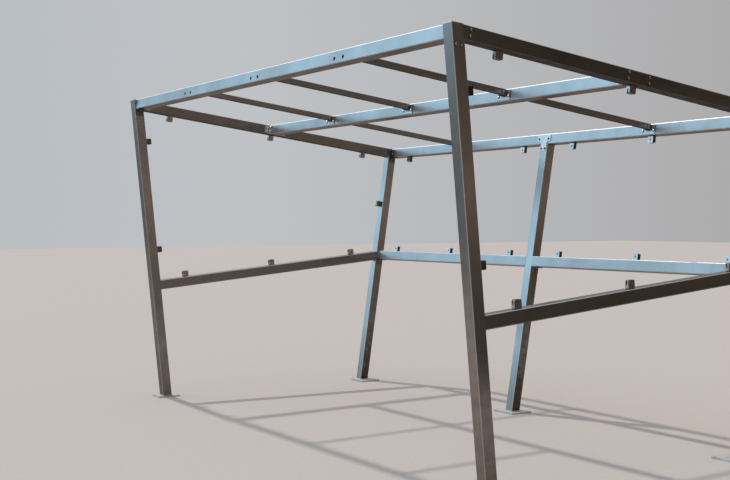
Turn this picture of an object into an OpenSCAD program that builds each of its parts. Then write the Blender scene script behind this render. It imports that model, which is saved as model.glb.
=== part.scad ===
// Open bus shelter frame of square metal tube, without its glass.
// X runs along the back, +Y points to the back, Z is up from the floor.

/* [Frame] */
// length over the two end frames
frame_l = 4620; // [3600:10:6000]
// height of the front posts at their front edge
front_h = 2535; // [2300:5:2800]
// distance at the floor between the front faces of the front and the back posts
foot_span = 1985; // [1500:5:2400]
// forward lean of the front posts in degrees
front_lean = 5.45; // [0:0.05:10]
// backward lean of the back corner posts in degrees
back_lean = 8.6; // [2:0.1:12]
// fall of the roof toward the back in degrees
roof_fall = 7.5; // [2:0.1:12]
// rise of the end rails toward the back in degrees
rail_rise = 5.6; // [0:0.1:10]
// height of the end rails above the floor at the front face line of the front posts
rail_h = 1007; // [700:1:1200]

/* [Tubes] */
// side of the square tube of the posts, beams and rails
tube_w = 80; // [60:1:100]
// wall of that tube
tube_wall = 4; // [3:0.5:6]
// outside corner radius of that tube
tube_r = 6; // [5:0.5:10]
// side of the square tube of the purlins
purlin_w = 40; // [30:1:60]
// wall of the purlin tube
purlin_wall = 3; // [2:0.5:4]
// outside corner radius of the purlin tube
purlin_r = 4; // [4:0.5:8]
// thickness of the plate that closes the top of a post
cap_t = 4; // [2:0.5:8]
// distance the front beam stands back from the front edge of the post tops
front_setback = 26; // [10:1:60]
// distance the back beam stands back from the front face of the back corner posts
back_setback = 31; // [5:1:50]
// distance the middle beam stands forward of halfway
mid_forward = 26; // [0:1:100]
// height of the back rails above the back ends of the end rails
back_rail_up = 8; // [0:1:20]

/* [Base plates] */
// thickness of the base plates
plate_t = 12; // [6:1:20]
// reach of a front base plate past each side of its post
front_plate_side = 40; // [30:1:100]
// reach of a back corner base plate past the inner side of its post
back_plate_side = 120; // [60:1:160]
// reach of the middle back base plate past each side of its post
mid_plate_side = 80; // [40:1:140]
// length of a base plate from front to back
plate_l = 190; // [160:1:300]
// corner radius of the base plates
plate_r = 5; // [2:1:15]
// diameter of the anchor bolt holes
anchor_d = 14; // [10:1:16]
// distance of an anchor hole from the edges of its plate
anchor_edge = 20; // [14:1:26]

/* [Brackets] */
// thickness of the shelf brackets and cleats
bracket_t = 5; // [3:0.5:8]
// height of a shelf bracket on the post
shelf_h = 50; // [40:1:80]
// reach of a shelf bracket under the beam
shelf_reach = 50; // [35:1:80]
// length of a shelf bracket across the post
shelf_l = 66; // [50:1:72]
// distance of the bolts of a shelf bracket below the beam
shelf_bolt = 32; // [20:1:36]
// distance between the two bolts of a shelf bracket
shelf_pitch = 36; // [28:1:44]
// distance of the bolt under the beam from the post
shelf_beam_bolt = 31; // [15:1:60]
// leg of a beam cleat along the end beam
cleat_leg = 49; // [40:1:70]
// leg of a beam cleat along the beam
cleat_reach = 45; // [30:1:80]
// height of the beam cleats
cleat_h = 69; // [50:1:74]
// distance of the bolts of a cleat from the beam
cleat_bolt = 28; // [20:1:32]
// distance of the upper bolt of a cleat below the top of the beam
cleat_bolt_top = 20; // [16:1:26]
// distance between the two bolts of a cleat
cleat_pitch = 34; // [26:1:38]
// leg along the end beam of the cleats behind the middle beam
long_leg = 75; // [50:1:90]
// distance of the bolts in that leg from the beam
long_bolt = 54; // [30:1:62]
// diameter of the bolt holes in brackets, cleats and tubes
bolt_d = 9; // [7:1:12]
// diameter of the holes that give access to the nuts of the purlin shoes
access_d = 24; // [12:1:30]

/* [Joint plate] */
// thickness of the joint plate over the middle back post
joint_t = 5; // [3:0.5:8]
// width of the joint plate on the back beam
joint_w = 152; // [130:1:200]
// distance of the top of the joint plate below the top of the back beam
joint_top = 7; // [6:1:20]
// distance between its two bolts on the back beam
joint_pitch = 108; // [90:1:130]
// distance of these bolts below the top of the back beam
joint_bolt = 32; // [22:1:38]
// width of the stem of the joint plate on the post
stem_w = 67; // [50:1:72]
// length of the stem below the back beam
stem_l = 55; // [40:1:120]
// distance between the two bolts in the stem
stem_pitch = 40; // [24:1:46]
// distance of these bolts below the back beam
stem_bolt = 36; // [20:1:42]
// radius of the hollow curves between the head and the stem of the joint plate
joint_curve = 22; // [12:1:28]
// radius of the free corners of the joint plate
joint_r = 8; // [2:1:12]

/* [Purlin shoes] */
// thickness of the purlin shoes
shoe_t = 4; // [2:0.5:5]
// width of the back plate of a purlin shoe
shoe_w = 132; // [110:1:140]
// height of the back plate of a purlin shoe
shoe_h = 66; // [58:1:70]
// length of the channel of a purlin shoe
shoe_l = 34; // [20:1:60]
// distance between the two bolt holes of a purlin shoe
shoe_pitch = 102; // [76:1:108]
// distance of these bolts below the top of the beam
shoe_bolt = 48; // [30:1:56]

/* [Glass clamps] */
// length of a glass clamp along the glass edge
clamp_l = 50; // [40:1:60]
// height of a glass clamp
clamp_h = 50; // [40:1:60]
// thickness of a glass clamp across the glass
clamp_w = 28; // [24:1:40]
// corner radius of the glass clamps
clamp_r = 7; // [2:1:12]
// width of the glass slot
slot_w = 10; // [6:1:12]
// depth of the glass slot
slot_d = 28; // [15:1:32]
// diameter of the clamping screw hole
screw_d = 8; // [5:1:8]
// distance of the clamping screw from the closed end of the slot
screw_in = 5.5; // [5:0.5:10]
// diameter of the sink for the head of the clamping screw
head_d = 15; // [10:1:18]
// depth of that sink
head_sink = 2; // [1:0.5:4]
// distance of the glass clamps from the front posts
clamp_front = 246; // [150:1:400]
// distance of the glass clamps from the back corner posts
clamp_back = 273; // [150:1:400]
// distance of the outer clamps from the ends of the back bays
clamp_side = 258; // [150:1:400]
// distance of the post clamps from the rail below and the beam above
clamp_up = 262; // [150:1:400]

/* [Fits] */
// clearance between pieces that are put together
seat = 0.2; // [0.1:0.05:0.5]

/* [Hidden] */
$fn = 48;
tan_f = tan(front_lean);
tan_b = tan(back_lean);
tan_r = tan(roof_fall);
side_x = (frame_l - tube_w) / 2;
bay = (frame_l - tube_w) / 4;
// height of the roof plane above the front face line of the front posts at the floor
roof_z0 = front_h * (1 - tan_r * tan_f);
// front edge of the front posts at the roof plane
front_top_y = -tan_f * front_h;
// front edge of the back corner posts at the roof plane
back_top_y = (foot_span + tan_b * roof_z0) / (1 + tan_b * tan_r);
// places of the long beams measured down the roof plane
u_front = front_top_y / cos(roof_fall) + front_setback;
u_back = back_top_y / cos(roof_fall) + back_setback;
u_mid = (u_front + u_back) / 2 - mid_forward;
// front foot edge of the middle back post and its lean up to the back beam
mid_top_y = (u_back * cos(roof_fall)) - tube_w * sin(roof_fall);
mid_top_z = roof_z0 - u_back * sin(roof_fall) - tube_w * cos(roof_fall);
mid_lean = atan2(mid_top_y - foot_span, mid_top_z);
mid_z = mid_top_z / cos(mid_lean);
// place where the end rails meet the back corner posts, and height of the back rails
rail_back_y = (foot_span + tan_b * rail_h) / (1 - tan_b * tan(rail_rise));
rail_back_z = rail_h + rail_back_y * tan(rail_rise) + back_rail_up;
rail_z = rail_back_z / cos(mid_lean);
// all pieces are moved so that the bounding box is centred on the origin
back_edge_y = (u_back + tube_w - tube_r) * cos(roof_fall) - tube_r * sin(roof_fall) + tube_r;
shift_y = -(front_top_y + back_edge_y) / 2;
// length between the inner faces of the end frames
inner_l = frame_l - 2 * tube_w - 2 * seat;
// angles of the posts from the normal of the roof plane
front_skew = front_lean + roof_fall;
back_skew = back_lean - roof_fall;
// middle lines of the posts at the bolts of the shelf brackets
shelf_n = tube_w + shelf_bolt;
front_shelf_u = front_top_y / cos(roof_fall) + tube_w / 2 / cos(front_skew) + shelf_n * tan(front_skew);
back_shelf_u = back_top_y / cos(roof_fall) + tube_w / 2 / cos(back_skew) - shelf_n * tan(back_skew);
corner_shelf_y = tube_w / 2 - (rail_back_z - shelf_n) * (tan(mid_lean) - tan_b) * cos(mid_lean);
// height of the rail top and of the beam underside up the posts
front_post_rail = (rail_h + tube_w * (cos(front_lean) * tan(rail_rise) - sin(front_lean)))
  / (cos(front_lean) + sin(front_lean) * tan(rail_rise));
front_post_beam = (roof_z0 - tube_w * (cos(front_lean) * tan_r + sin(front_lean)) - tube_w / cos(roof_fall))
  / (cos(front_lean) - sin(front_lean) * tan_r);
back_post_rail = (rail_h + foot_span * tan(rail_rise)) / (cos(back_lean) - sin(back_lean) * tan(rail_rise));
back_post_beam = (roof_z0 - foot_span * tan_r - tube_w / cos(roof_fall))
  / (cos(back_lean) + sin(back_lean) * tan_r);
// faces of the posts on the line of the clamps under the end beams and on the end rails
clamp_n = tube_w + clamp_h / 2;
beam_from = front_top_y / cos(roof_fall) + tube_w / cos(front_skew) + clamp_n * tan(front_skew);
beam_to = back_top_y / cos(roof_fall) - clamp_n * tan(back_skew);
rail_from = (tube_w * cos(front_lean) - front_post_rail * sin(front_lean)) / cos(rail_rise);
rail_to = (foot_span + back_post_rail * sin(back_lean)) / cos(rail_rise)
  + clamp_h / 2 * tan(back_lean + rail_rise);
// places of the bolts of the cleats along the end beams
end_beam_bolts = [
  u_front + tube_w + cleat_bolt,
  u_mid - cleat_bolt,
  u_mid + tube_w + long_bolt,
  u_back - cleat_bolt
];
// places of the clamps
end_beam_places = spread(beam_from + clamp_front, beam_to - clamp_back);
end_rail_places = spread(rail_from + clamp_front, rail_to - clamp_back);
back_places = spread(tube_w / 2 + clamp_side, side_x - tube_w / 2 - clamp_side);
front_post_places = [front_post_rail + clamp_up, front_post_beam - clamp_up];
back_post_place = (back_post_rail + back_post_beam) / 2;
// a length that passes through the whole frame
far = 2 * frame_l;

// three even places from one end place to the other
function spread(first, last) = [first, (first + last) / 2, last];

// a square with round corners, centred
module round_square(w, h, r) {
  square([w - 2 * r, h], center = true);
  square([w, h - 2 * r], center = true);
  for (sx = [-1, 1], sy = [-1, 1]) translate([sx * (w / 2 - r), sy * (h / 2 - r)]) circle(r);
}

// the hollow section of a tube
module tube_section(w, wall, r) {
  difference() {
    round_square(w, w, r);
    round_square(w - 2 * wall, w - 2 * wall, r - wall);
  }
}

// a tube along X, front top edge at the origin, running back and down from it
module bar_x(len, w, wall, r) {
  translate([-len / 2, w / 2, -w / 2]) rotate([90, 0, 90])
    linear_extrude(len) tube_section(w, wall, r);
}

// a tube along Y, top at the origin plane, centred in X
module bar_y(y0, y1, w, wall, r) {
  translate([0, y1, -w / 2]) rotate([90, 0, 0])
    linear_extrude(y1 - y0) tube_section(w, wall, r);
}

// the frame of the roof plane: Y runs down the slope, Z is normal to it
module in_roof() {
  translate([0, shift_y, roof_z0]) rotate([-roof_fall, 0, 0]) children();
}

// the frame of the end rails: Y runs up the slope
module in_rail() {
  translate([0, shift_y, rail_h]) rotate([rail_rise, 0, 0]) children();
}

// the frame of a post: Z runs up the post, front face on Y = 0
module in_post(y_foot, lean) {
  translate([0, shift_y + y_foot, 0]) rotate([lean, 0, 0]) children();
}

// everything below a plane a distance down from the roof plane
module below_roof(down) {
  in_roof() translate([-far / 2, -far / 2, -far - down]) cube([far, far, far]);
}

// everything above the base plates
module above_plate() {
  translate([-far / 2, -far / 2, plate_t + seat]) cube([far, far, far]);
}

// the space between the front and the back corner posts
module between_posts() {
  in_post(0, front_lean) translate([-far / 2, tube_w + seat, -far / 2]) cube([far, far, far]);
}

module before_back_posts() {
  in_post(foot_span, -back_lean) translate([-far / 2, -far - seat, -far / 2]) cube([far, far, far]);
}

// one post with a closed top
module post(x, y_foot, lean, down) {
  intersection() {
    difference() {
      in_post(y_foot, lean) translate([x, tube_w / 2, -tube_w])
        linear_extrude(front_h * 1.2) round_square(tube_w, tube_w, tube_r);
      intersection() {
        in_post(y_foot, lean) translate([x, tube_w / 2, -tube_w])
          linear_extrude(front_h * 1.2)
            round_square(tube_w - 2 * tube_wall, tube_w - 2 * tube_wall, tube_r - tube_wall);
        below_roof(down + cap_t);
      }
    }
    below_roof(down);
    above_plate();
  }
}

// one base plate: reach past the post on the left and on the right side
module base_plate(x, y_foot, lean, left, right) {
  w = left + tube_w + right;
  translate([x + (right - left) / 2, shift_y + y_foot + tube_w / cos(lean) / 2, 0]) difference() {
    linear_extrude(plate_t) round_square(w, plate_l, plate_r);
    for (sx = [-1, 1], sy = [-1, 1])
      translate([sx * (w / 2 - anchor_edge), sy * (plate_l / 2 - anchor_edge), -1])
        cylinder(h = plate_t + 2, d = anchor_d);
  }
}

// the holes for the two bolts of a shelf bracket, through a post at x
module shelf_bolts(x) {
  for (sy = [-1, 1]) translate([x - tube_w, sy * shelf_pitch / 2, -shelf_bolt]) rotate([0, 90, 0])
    cylinder(h = 2 * tube_w, d = bolt_d);
}

// the two holes for the bolts of a beam cleat, along X from the origin
module cleat_bolts(len) {
  for (down = [cleat_bolt_top, cleat_bolt_top + cleat_pitch]) translate([0, 0, -down]) rotate([0, 90, 0])
    cylinder(h = len, d = bolt_d);
}

// the two holes for the bolts of a purlin shoe, along +Y from the origin
module shoe_bolts(len, d) {
  for (sx = [-1, 1]) translate([sx * shoe_pitch / 2, 0, -shoe_bolt]) rotate([-90, 0, 0])
    cylinder(h = len, d = d);
}

// one corner post with the holes for its shelf brackets
module front_post(x) {
  difference() {
    post(x, 0, front_lean, 0);
    in_roof() translate([0, front_shelf_u, -tube_w - seat]) shelf_bolts(x);
  }
}

module back_corner_post(x) {
  difference() {
    post(x, foot_span, -back_lean, 0);
    in_roof() translate([0, back_shelf_u, -tube_w - seat]) shelf_bolts(x);
    in_post(foot_span, -mid_lean) translate([0, corner_shelf_y, rail_z - tube_w - seat]) shelf_bolts(x);
  }
}

// one end rail or end beam, cut to the faces of the posts
module end_rail(x) {
  intersection() {
    in_rail() translate([x, 0, 0]) bar_y(-tube_w, foot_span * 1.4, tube_w, tube_wall, tube_r);
    between_posts();
    before_back_posts();
  }
}

module end_beam(x) {
  difference() {
    intersection() {
      in_roof() translate([x, 0, 0])
        bar_y(-foot_span * 0.3, foot_span * 1.4, tube_w, tube_wall, tube_r);
      between_posts();
      before_back_posts();
    }
    in_roof() for (u = end_beam_bolts) translate([x - tube_w, u, 0]) cleat_bolts(2 * tube_w);
  }
}

// a long beam at a place down the roof plane, between the end frames
module roof_beam(u) {
  in_roof() translate([0, u, 0]) bar_x(inner_l, tube_w, tube_wall, tube_r);
}

// the holes in a beam for the cleats at its two ends, from the face at u along the given side
module cleat_holes(u, side) {
  for (s = [0, 1]) mirror([s, 0, 0]) translate([inner_l / 2 - cleat_bolt, u, 0]) rotate([0, 0, 90 * side])
    translate([-tube_wall * 2, 0, 0]) cleat_bolts(tube_wall * 4);
}

// the holes under a beam for the shelf brackets at its two ends
module shelf_holes(u) {
  for (sx = [-1, 1]) translate([sx * (inner_l / 2 - shelf_beam_bolt), u, -tube_w - 1])
    cylinder(h = tube_wall + 2, d = bolt_d);
}

module back_rail(side) {
  len = side_x - tube_w - 2 * seat;
  in_post(foot_span, -mid_lean) difference() {
    translate([side * side_x / 2, 0, rail_z]) bar_x(len, tube_w, tube_wall, tube_r);
    translate([side * (tube_w / 2 + seat + shelf_beam_bolt), tube_w / 2, rail_z - tube_w - 1])
      cylinder(h = tube_wall + 2, d = bolt_d);
    translate([side * (inner_l / 2 - shelf_beam_bolt), corner_shelf_y, rail_z - tube_w - 1])
      cylinder(h = tube_wall + 2, d = bolt_d);
  }
}

module purlin(x, u0, u1) {
  in_roof() translate([x, 0, 0])
    bar_y(u0 + shoe_t + seat, u1 - shoe_t - seat, purlin_w, purlin_wall, purlin_r);
}

// a shelf bracket: upright leg at X = 0 reaching toward +X under a beam, top at Z = 0
module shelf() {
  difference() {
    union() {
      translate([0, -shelf_l / 2, -shelf_h]) cube([bracket_t, shelf_l, shelf_h]);
      translate([0, -shelf_l / 2, -bracket_t]) cube([shelf_reach, shelf_l, bracket_t]);
    }
    shelf_bolts(0);
    translate([shelf_beam_bolt, 0, -bracket_t - 1]) cylinder(h = bracket_t + 2, d = bolt_d);
  }
}

// a cleat: one leg on the end beam at X = 0, with its bolts a distance from the other leg,
// which is on the front face of a beam at Y = 0
module cleat(leg, bolt) {
  difference() {
    translate([0, 0, -(tube_w + cleat_h) / 2]) {
      translate([0, -leg, 0]) cube([bracket_t, leg, cleat_h]);
      translate([0, -bracket_t, 0]) cube([cleat_reach, bracket_t, cleat_h]);
    }
    translate([-1, -bolt, 0]) cleat_bolts(bracket_t + 2);
    translate([cleat_bolt, 1, 0]) rotate([0, 0, -90]) cleat_bolts(bracket_t + 2);
  }
}

// cleats at the two ends of a beam: in front of it, or behind it when side is 1
module cleats(u, side, leg = cleat_leg, bolt = cleat_bolt) {
  for (s = [0, 1]) mirror([s, 0, 0]) in_roof()
    translate([-inner_l / 2, u, 0]) mirror([0, side, 0]) translate([0, -seat, 0]) cleat(leg, bolt);
}

// a purlin shoe: back plate on Y = 0, channel running to +Y around the purlin end
module shoe() {
  in_w = purlin_w + 2 * seat;
  difference() {
    union() {
      translate([-shoe_w / 2, 0, -(tube_w + shoe_h) / 2]) cube([shoe_w, shoe_t, shoe_h]);
      translate([-in_w / 2 - shoe_t, 0, -purlin_w - seat - shoe_t])
        cube([in_w + 2 * shoe_t, shoe_l, purlin_w + shoe_t - purlin_r]);
    }
    translate([-in_w / 2, shoe_t, -purlin_w - seat]) cube([in_w, shoe_l, purlin_w + 1]);
    translate([0, -1, 0]) shoe_bolts(shoe_t + 2, bolt_d);
  }
}

// a glass clamp under a rail: top on Z = 0, slot along Y open downward, screw on the +X side
module clamp() {
  screw_z = slot_d - clamp_h - screw_in;
  difference() {
    translate([-clamp_w / 2, 0, -clamp_h / 2]) rotate([90, 0, 90])
      linear_extrude(clamp_w) round_square(clamp_l, clamp_h, clamp_r);
    translate([-slot_w / 2, -clamp_l, -clamp_h - 1]) cube([slot_w, 2 * clamp_l, slot_d + 1]);
    translate([0, 0, screw_z]) rotate([0, 90, 0]) cylinder(h = clamp_w, d = screw_d);
    translate([clamp_w / 2 - head_sink, 0, screw_z]) rotate([0, 90, 0]) cylinder(h = clamp_w, d = head_d);
  }
}

// a clamp of an end frame, its screw on the inner side
module end_clamp(side) {
  rotate([0, 0, 90 * (side + 1)]) clamp();
}

module front_post_left() color("#b7bcc0") front_post(-side_x);
module front_post_right() color("#b7bcc0") front_post(side_x);
module back_post_left() color("#b7bcc0") back_corner_post(-side_x);
module back_post_right() color("#b7bcc0") back_corner_post(side_x);
module back_post_middle() color("#b7bcc0") difference() {
  post(0, foot_span, -mid_lean, tube_w + seat);
  in_post(foot_span, -mid_lean) {
    translate([0, tube_w / 2, rail_z - tube_w - seat]) shelf_bolts(0);
    stem_bolts();
  }
}

module base_plate_front_left() color("#a9adb0")
  base_plate(-side_x, 0, front_lean, front_plate_side, front_plate_side);
module base_plate_front_right() color("#a9adb0")
  base_plate(side_x, 0, front_lean, front_plate_side, front_plate_side);
module base_plate_back_left() color("#a9adb0")
  base_plate(-side_x, foot_span, back_lean, 0, back_plate_side);
module base_plate_back_right() color("#a9adb0")
  base_plate(side_x, foot_span, back_lean, back_plate_side, 0);
module base_plate_back_middle() color("#a9adb0")
  base_plate(0, foot_span, mid_lean, mid_plate_side, mid_plate_side);

module front_beam() color("#b7bcc0") difference() {
  roof_beam(u_front);
  in_roof() {
    for (x = [-bay, 0, bay]) translate([x, u_front - tube_w, 0]) {
      shoe_bolts(tube_w * 3 / 2, access_d);
      shoe_bolts(tube_w * 3, bolt_d);
    }
    cleat_holes(u_front + tube_w, 1);
    shelf_holes(front_shelf_u);
  }
}
module middle_beam() color("#b7bcc0") difference() {
  roof_beam(u_mid);
  in_roof() {
    for (x = [-bay, 0, bay]) translate([x, u_mid - tube_w, 0]) shoe_bolts(tube_w * 3, bolt_d);
    for (u = [u_mid, u_mid + tube_w]) cleat_holes(u, 1);
  }
}
module back_beam() color("#b7bcc0") difference() {
  roof_beam(u_back);
  in_roof() {
    for (x = [-bay, bay]) translate([x, u_back, 0]) {
      translate([0, tube_w / 2, 0]) shoe_bolts(tube_w, access_d);
      translate([0, -tube_w, 0]) shoe_bolts(tube_w * 3, bolt_d);
    }
    cleat_holes(u_back, 1);
    shelf_holes(back_shelf_u);
    joint_bolts();
  }
}
module end_beam_left() color("#b7bcc0") end_beam(-side_x);
module end_beam_right() color("#b7bcc0") end_beam(side_x);
module end_rail_left() color("#b7bcc0") end_rail(-side_x);
module end_rail_right() color("#b7bcc0") end_rail(side_x);
module back_rail_left() color("#b7bcc0") back_rail(-1);
module back_rail_right() color("#b7bcc0") back_rail(1);

module front_purlin_left() color("#b7bcc0") purlin(-bay, u_front + tube_w, u_mid);
module front_purlin_middle() color("#b7bcc0") purlin(0, u_front + tube_w, u_mid);
module front_purlin_right() color("#b7bcc0") purlin(bay, u_front + tube_w, u_mid);
module back_purlin_left() color("#b7bcc0") purlin(-bay, u_mid + tube_w, u_back);
module back_purlin_right() color("#b7bcc0") purlin(bay, u_mid + tube_w, u_back);

// shelf brackets under the two ends of a beam in the roof plane
module roof_shelves(u) {
  for (s = [0, 1]) mirror([s, 0, 0]) in_roof() translate([-inner_l / 2, u, -tube_w - seat]) shelf();
}

module front_beam_shelves() color("#8f9498") roof_shelves(front_shelf_u);
module back_beam_shelves() color("#8f9498") roof_shelves(back_shelf_u);
module back_rail_shelves() color("#8f9498")
  for (s = [0, 1]) mirror([s, 0, 0]) in_post(foot_span, -mid_lean)
    translate([0, 0, rail_z - tube_w - seat]) {
      translate([-inner_l / 2, corner_shelf_y, 0]) shelf();
      translate([-tube_w / 2 - seat, tube_w / 2, 0]) mirror([1, 0, 0]) shelf();
    }

module front_beam_cleats() color("#8f9498") cleats(u_front + tube_w, 1);
module middle_beam_cleats() color("#8f9498") {
  cleats(u_mid, 0);
  cleats(u_mid + tube_w, 1, long_leg, long_bolt);
}
module back_beam_cleats() color("#8f9498") cleats(u_back, 0);

// the outline of the joint plate on the beam: a head, and hollow curves that run from it into the stem
module joint_outline() {
  head_h = tube_w - joint_top - joint_curve;
  neck_h = joint_curve + joint_r;
  difference() {
    union() {
      translate([0, -joint_top - head_h / 2]) round_square(joint_w, head_h, joint_r);
      translate([0, neck_h / 2 - tube_w]) square([stem_w + 2 * joint_curve, neck_h], center = true);
    }
    for (sx = [-1, 1]) translate([sx * (stem_w / 2 + joint_curve), -tube_w]) circle(joint_curve);
  }
}

// the stem of the joint plate on the post, from the beam downward
module stem_outline() {
  translate([0, -(stem_l - joint_t) / 2]) {
    round_square(stem_w, stem_l + joint_t, joint_r);
    translate([0, joint_r / 2]) square([stem_w, stem_l + joint_t - joint_r], center = true);
  }
}

module joint_bolts() {
  for (sx = [-1, 1]) translate([sx * joint_pitch / 2, u_back - tube_w / 2, -joint_top - joint_bolt])
    rotate([-90, 0, 0]) cylinder(h = tube_w, d = bolt_d);
}

module stem_bolts() {
  for (sx = [-1, 1]) translate([sx * stem_pitch / 2, -tube_w / 2, mid_z - stem_bolt])
    rotate([-90, 0, 0]) cylinder(h = tube_w, d = bolt_d);
}

module joint_plate() color("#c9ced1") difference() {
  union() {
    in_roof() translate([0, u_back - seat, 0]) rotate([90, 0, 0]) linear_extrude(joint_t) joint_outline();
    in_post(foot_span, -mid_lean) translate([0, -seat, mid_z]) rotate([90, 0, 0])
      linear_extrude(joint_t) stem_outline();
  }
  in_roof() joint_bolts();
  in_post(foot_span, -mid_lean) stem_bolts();
}

module front_beam_shoes() color("#8f9498") in_roof()
  for (x = [-bay, 0, bay]) translate([x, u_front + tube_w + seat / 2, 0]) shoe();
module middle_beam_front_shoes() color("#8f9498") in_roof()
  for (x = [-bay, 0, bay]) translate([x, u_mid - seat / 2, 0]) mirror([0, 1, 0]) shoe();
module middle_beam_back_shoes() color("#8f9498") in_roof()
  for (x = [-bay, bay]) translate([x, u_mid + tube_w + seat / 2, 0]) shoe();
module back_beam_shoes() color("#8f9498") in_roof()
  for (x = [-bay, bay]) translate([x, u_back - seat / 2, 0]) mirror([0, 1, 0]) shoe();

module end_beam_clamps(side) color("#9aa0a4") in_roof()
  for (y = end_beam_places) translate([side * side_x, y, -tube_w - seat]) end_clamp(side);
module end_rail_clamps(side) color("#9aa0a4") in_rail()
  for (y = end_rail_places) translate([side * side_x, y, seat]) rotate([180, 0, 0]) end_clamp(side);
module back_beam_clamps(side) color("#9aa0a4") in_roof()
  for (x = back_places) translate([side * x, u_back + tube_w / 2, -tube_w - seat])
    rotate([0, 0, -90]) clamp();
module back_rail_clamps(side) color("#9aa0a4") in_post(foot_span, -mid_lean)
  for (x = back_places) translate([side * x, tube_w / 2, rail_z + seat])
    rotate([0, 0, -90]) rotate([180, 0, 0]) clamp();
module post_clamps(side) color("#9aa0a4") {
  in_post(0, front_lean) for (z = front_post_places)
    translate([side * side_x, tube_w + seat, z]) rotate([90, 0, 0]) end_clamp(side);
  in_post(foot_span, -back_lean)
    translate([side * side_x, -seat, back_post_place]) rotate([-90, 0, 0]) end_clamp(side);
}
module end_beam_clamps_left() end_beam_clamps(-1);
module end_beam_clamps_right() end_beam_clamps(1);
module end_rail_clamps_left() end_rail_clamps(-1);
module end_rail_clamps_right() end_rail_clamps(1);
module back_beam_clamps_left() back_beam_clamps(-1);
module back_beam_clamps_right() back_beam_clamps(1);
module back_rail_clamps_left() back_rail_clamps(-1);
module back_rail_clamps_right() back_rail_clamps(1);
module post_clamps_left() post_clamps(-1);
module post_clamps_right() post_clamps(1);

front_post_left();
front_post_right();
back_post_left();
back_post_middle();
back_post_right();
base_plate_front_left();
base_plate_front_right();
base_plate_back_left();
base_plate_back_middle();
base_plate_back_right();
front_beam();
middle_beam();
back_beam();
end_beam_left();
end_beam_right();
end_rail_left();
end_rail_right();
back_rail_left();
back_rail_right();
front_purlin_left();
front_purlin_middle();
front_purlin_right();
back_purlin_left();
back_purlin_right();
front_beam_shelves();
back_beam_shelves();
back_rail_shelves();
front_beam_cleats();
middle_beam_cleats();
back_beam_cleats();
joint_plate();
front_beam_shoes();
middle_beam_front_shoes();
middle_beam_back_shoes();
back_beam_shoes();
end_beam_clamps_left();
end_beam_clamps_right();
end_rail_clamps_left();
end_rail_clamps_right();
back_beam_clamps_left();
back_beam_clamps_right();
back_rail_clamps_left();
back_rail_clamps_right();
post_clamps_left();
post_clamps_right();
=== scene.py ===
"""Looks of the bus shelter frame: weathered metal, fasteners, welds, rubber pads, floor, light and camera."""

import math
import random

import bpy
from mathutils import Matrix, Vector

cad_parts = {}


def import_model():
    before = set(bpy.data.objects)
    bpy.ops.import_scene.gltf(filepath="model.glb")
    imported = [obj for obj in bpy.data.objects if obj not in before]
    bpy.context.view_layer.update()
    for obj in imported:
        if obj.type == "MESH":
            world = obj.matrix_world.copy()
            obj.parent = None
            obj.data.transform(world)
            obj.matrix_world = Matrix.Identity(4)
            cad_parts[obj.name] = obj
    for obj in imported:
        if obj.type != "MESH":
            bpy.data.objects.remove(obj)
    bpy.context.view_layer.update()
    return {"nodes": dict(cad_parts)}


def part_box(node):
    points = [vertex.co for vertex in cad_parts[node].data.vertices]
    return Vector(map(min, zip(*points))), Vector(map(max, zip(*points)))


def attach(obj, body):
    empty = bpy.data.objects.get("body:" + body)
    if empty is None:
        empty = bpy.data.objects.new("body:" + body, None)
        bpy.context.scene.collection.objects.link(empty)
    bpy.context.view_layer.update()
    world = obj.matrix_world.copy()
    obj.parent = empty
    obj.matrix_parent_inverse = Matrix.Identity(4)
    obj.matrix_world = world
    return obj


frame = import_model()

random.seed(7)

# main sizes of the frame, in metres and degrees, as the part has them
TUBE_W = 0.080
TUBE_R = 0.006
FRAME_L = 4.620
FRONT_H = 2.535
FOOT_SPAN = 1.985
FRONT_LEAN = 5.45
BACK_LEAN = 8.6
ROOF_FALL = 7.5
RAIL_RISE = 5.6
RAIL_H = 1.007
FRONT_SETBACK = 0.026
BACK_SETBACK = 0.031
MID_FORWARD = 0.026
BACK_RAIL_UP = 0.008
PLATE_T = 0.012
SEAT = 0.0002

# brackets, cleats, shoes and the joint plate
BRACKET_T = 0.005
SHELF_BOLT = 0.032
SHELF_PITCH = 0.036
SHELF_BEAM_BOLT = 0.031
CLEAT_BOLT = 0.028
LONG_BOLT = 0.054
CLEAT_BOLT_TOP = 0.020
CLEAT_PITCH = 0.034
JOINT_T = 0.005
JOINT_TOP = 0.007
JOINT_PITCH = 0.108
JOINT_BOLT = 0.032
STEM_PITCH = 0.040
STEM_BOLT = 0.036
SHOE_T = 0.004
SHOE_PITCH = 0.102
SHOE_BOLT = 0.048
TUBE_WALL = 0.004

# glass clamps
CLAMP_L = 0.050
CLAMP_H = 0.050
CLAMP_W = 0.028
SLOT_W = 0.010
SLOT_D = 0.028
SCREW_IN = 0.0055
HEAD_SINK = 0.002
CLAMP_FRONT = 0.246
CLAMP_BACK = 0.273
CLAMP_SIDE = 0.258
CLAMP_UP = 0.262

# the camera, solved from the straight edges of the photograph
CAMERA_AT = (7.296, -4.933, 1.502)
CAMERA_YAW = -58.34
CAMERA_PITCH = -2.45
CAMERA_ROLL = -0.11
FOCAL_PX = 1184.3
CENTRE_PX = (364.6, 272.3)
IMAGE_PX = (730, 480)
SENSOR_MM = 36.0

# the sun: its direction is solved from the shadows on the ground
SUN_TRAVEL = (0.505, 0.063, -0.861)
SUN_STRENGTH = 1.8
SUN_WIDTH = 2.0
SUN_COLOUR = (1.0, 0.97, 0.92)

# the floor ends a short way before the object, where the metal would mirror it, and runs far behind it
FLOOR_NEAR = 5.5
FLOOR_FAR = 60.0
FLOOR_TONES = ((0.48, 0.415, 0.38), (0.455, 0.39, 0.355))

rad = math.radians


def tan(degrees):
    return math.tan(rad(degrees))


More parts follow.
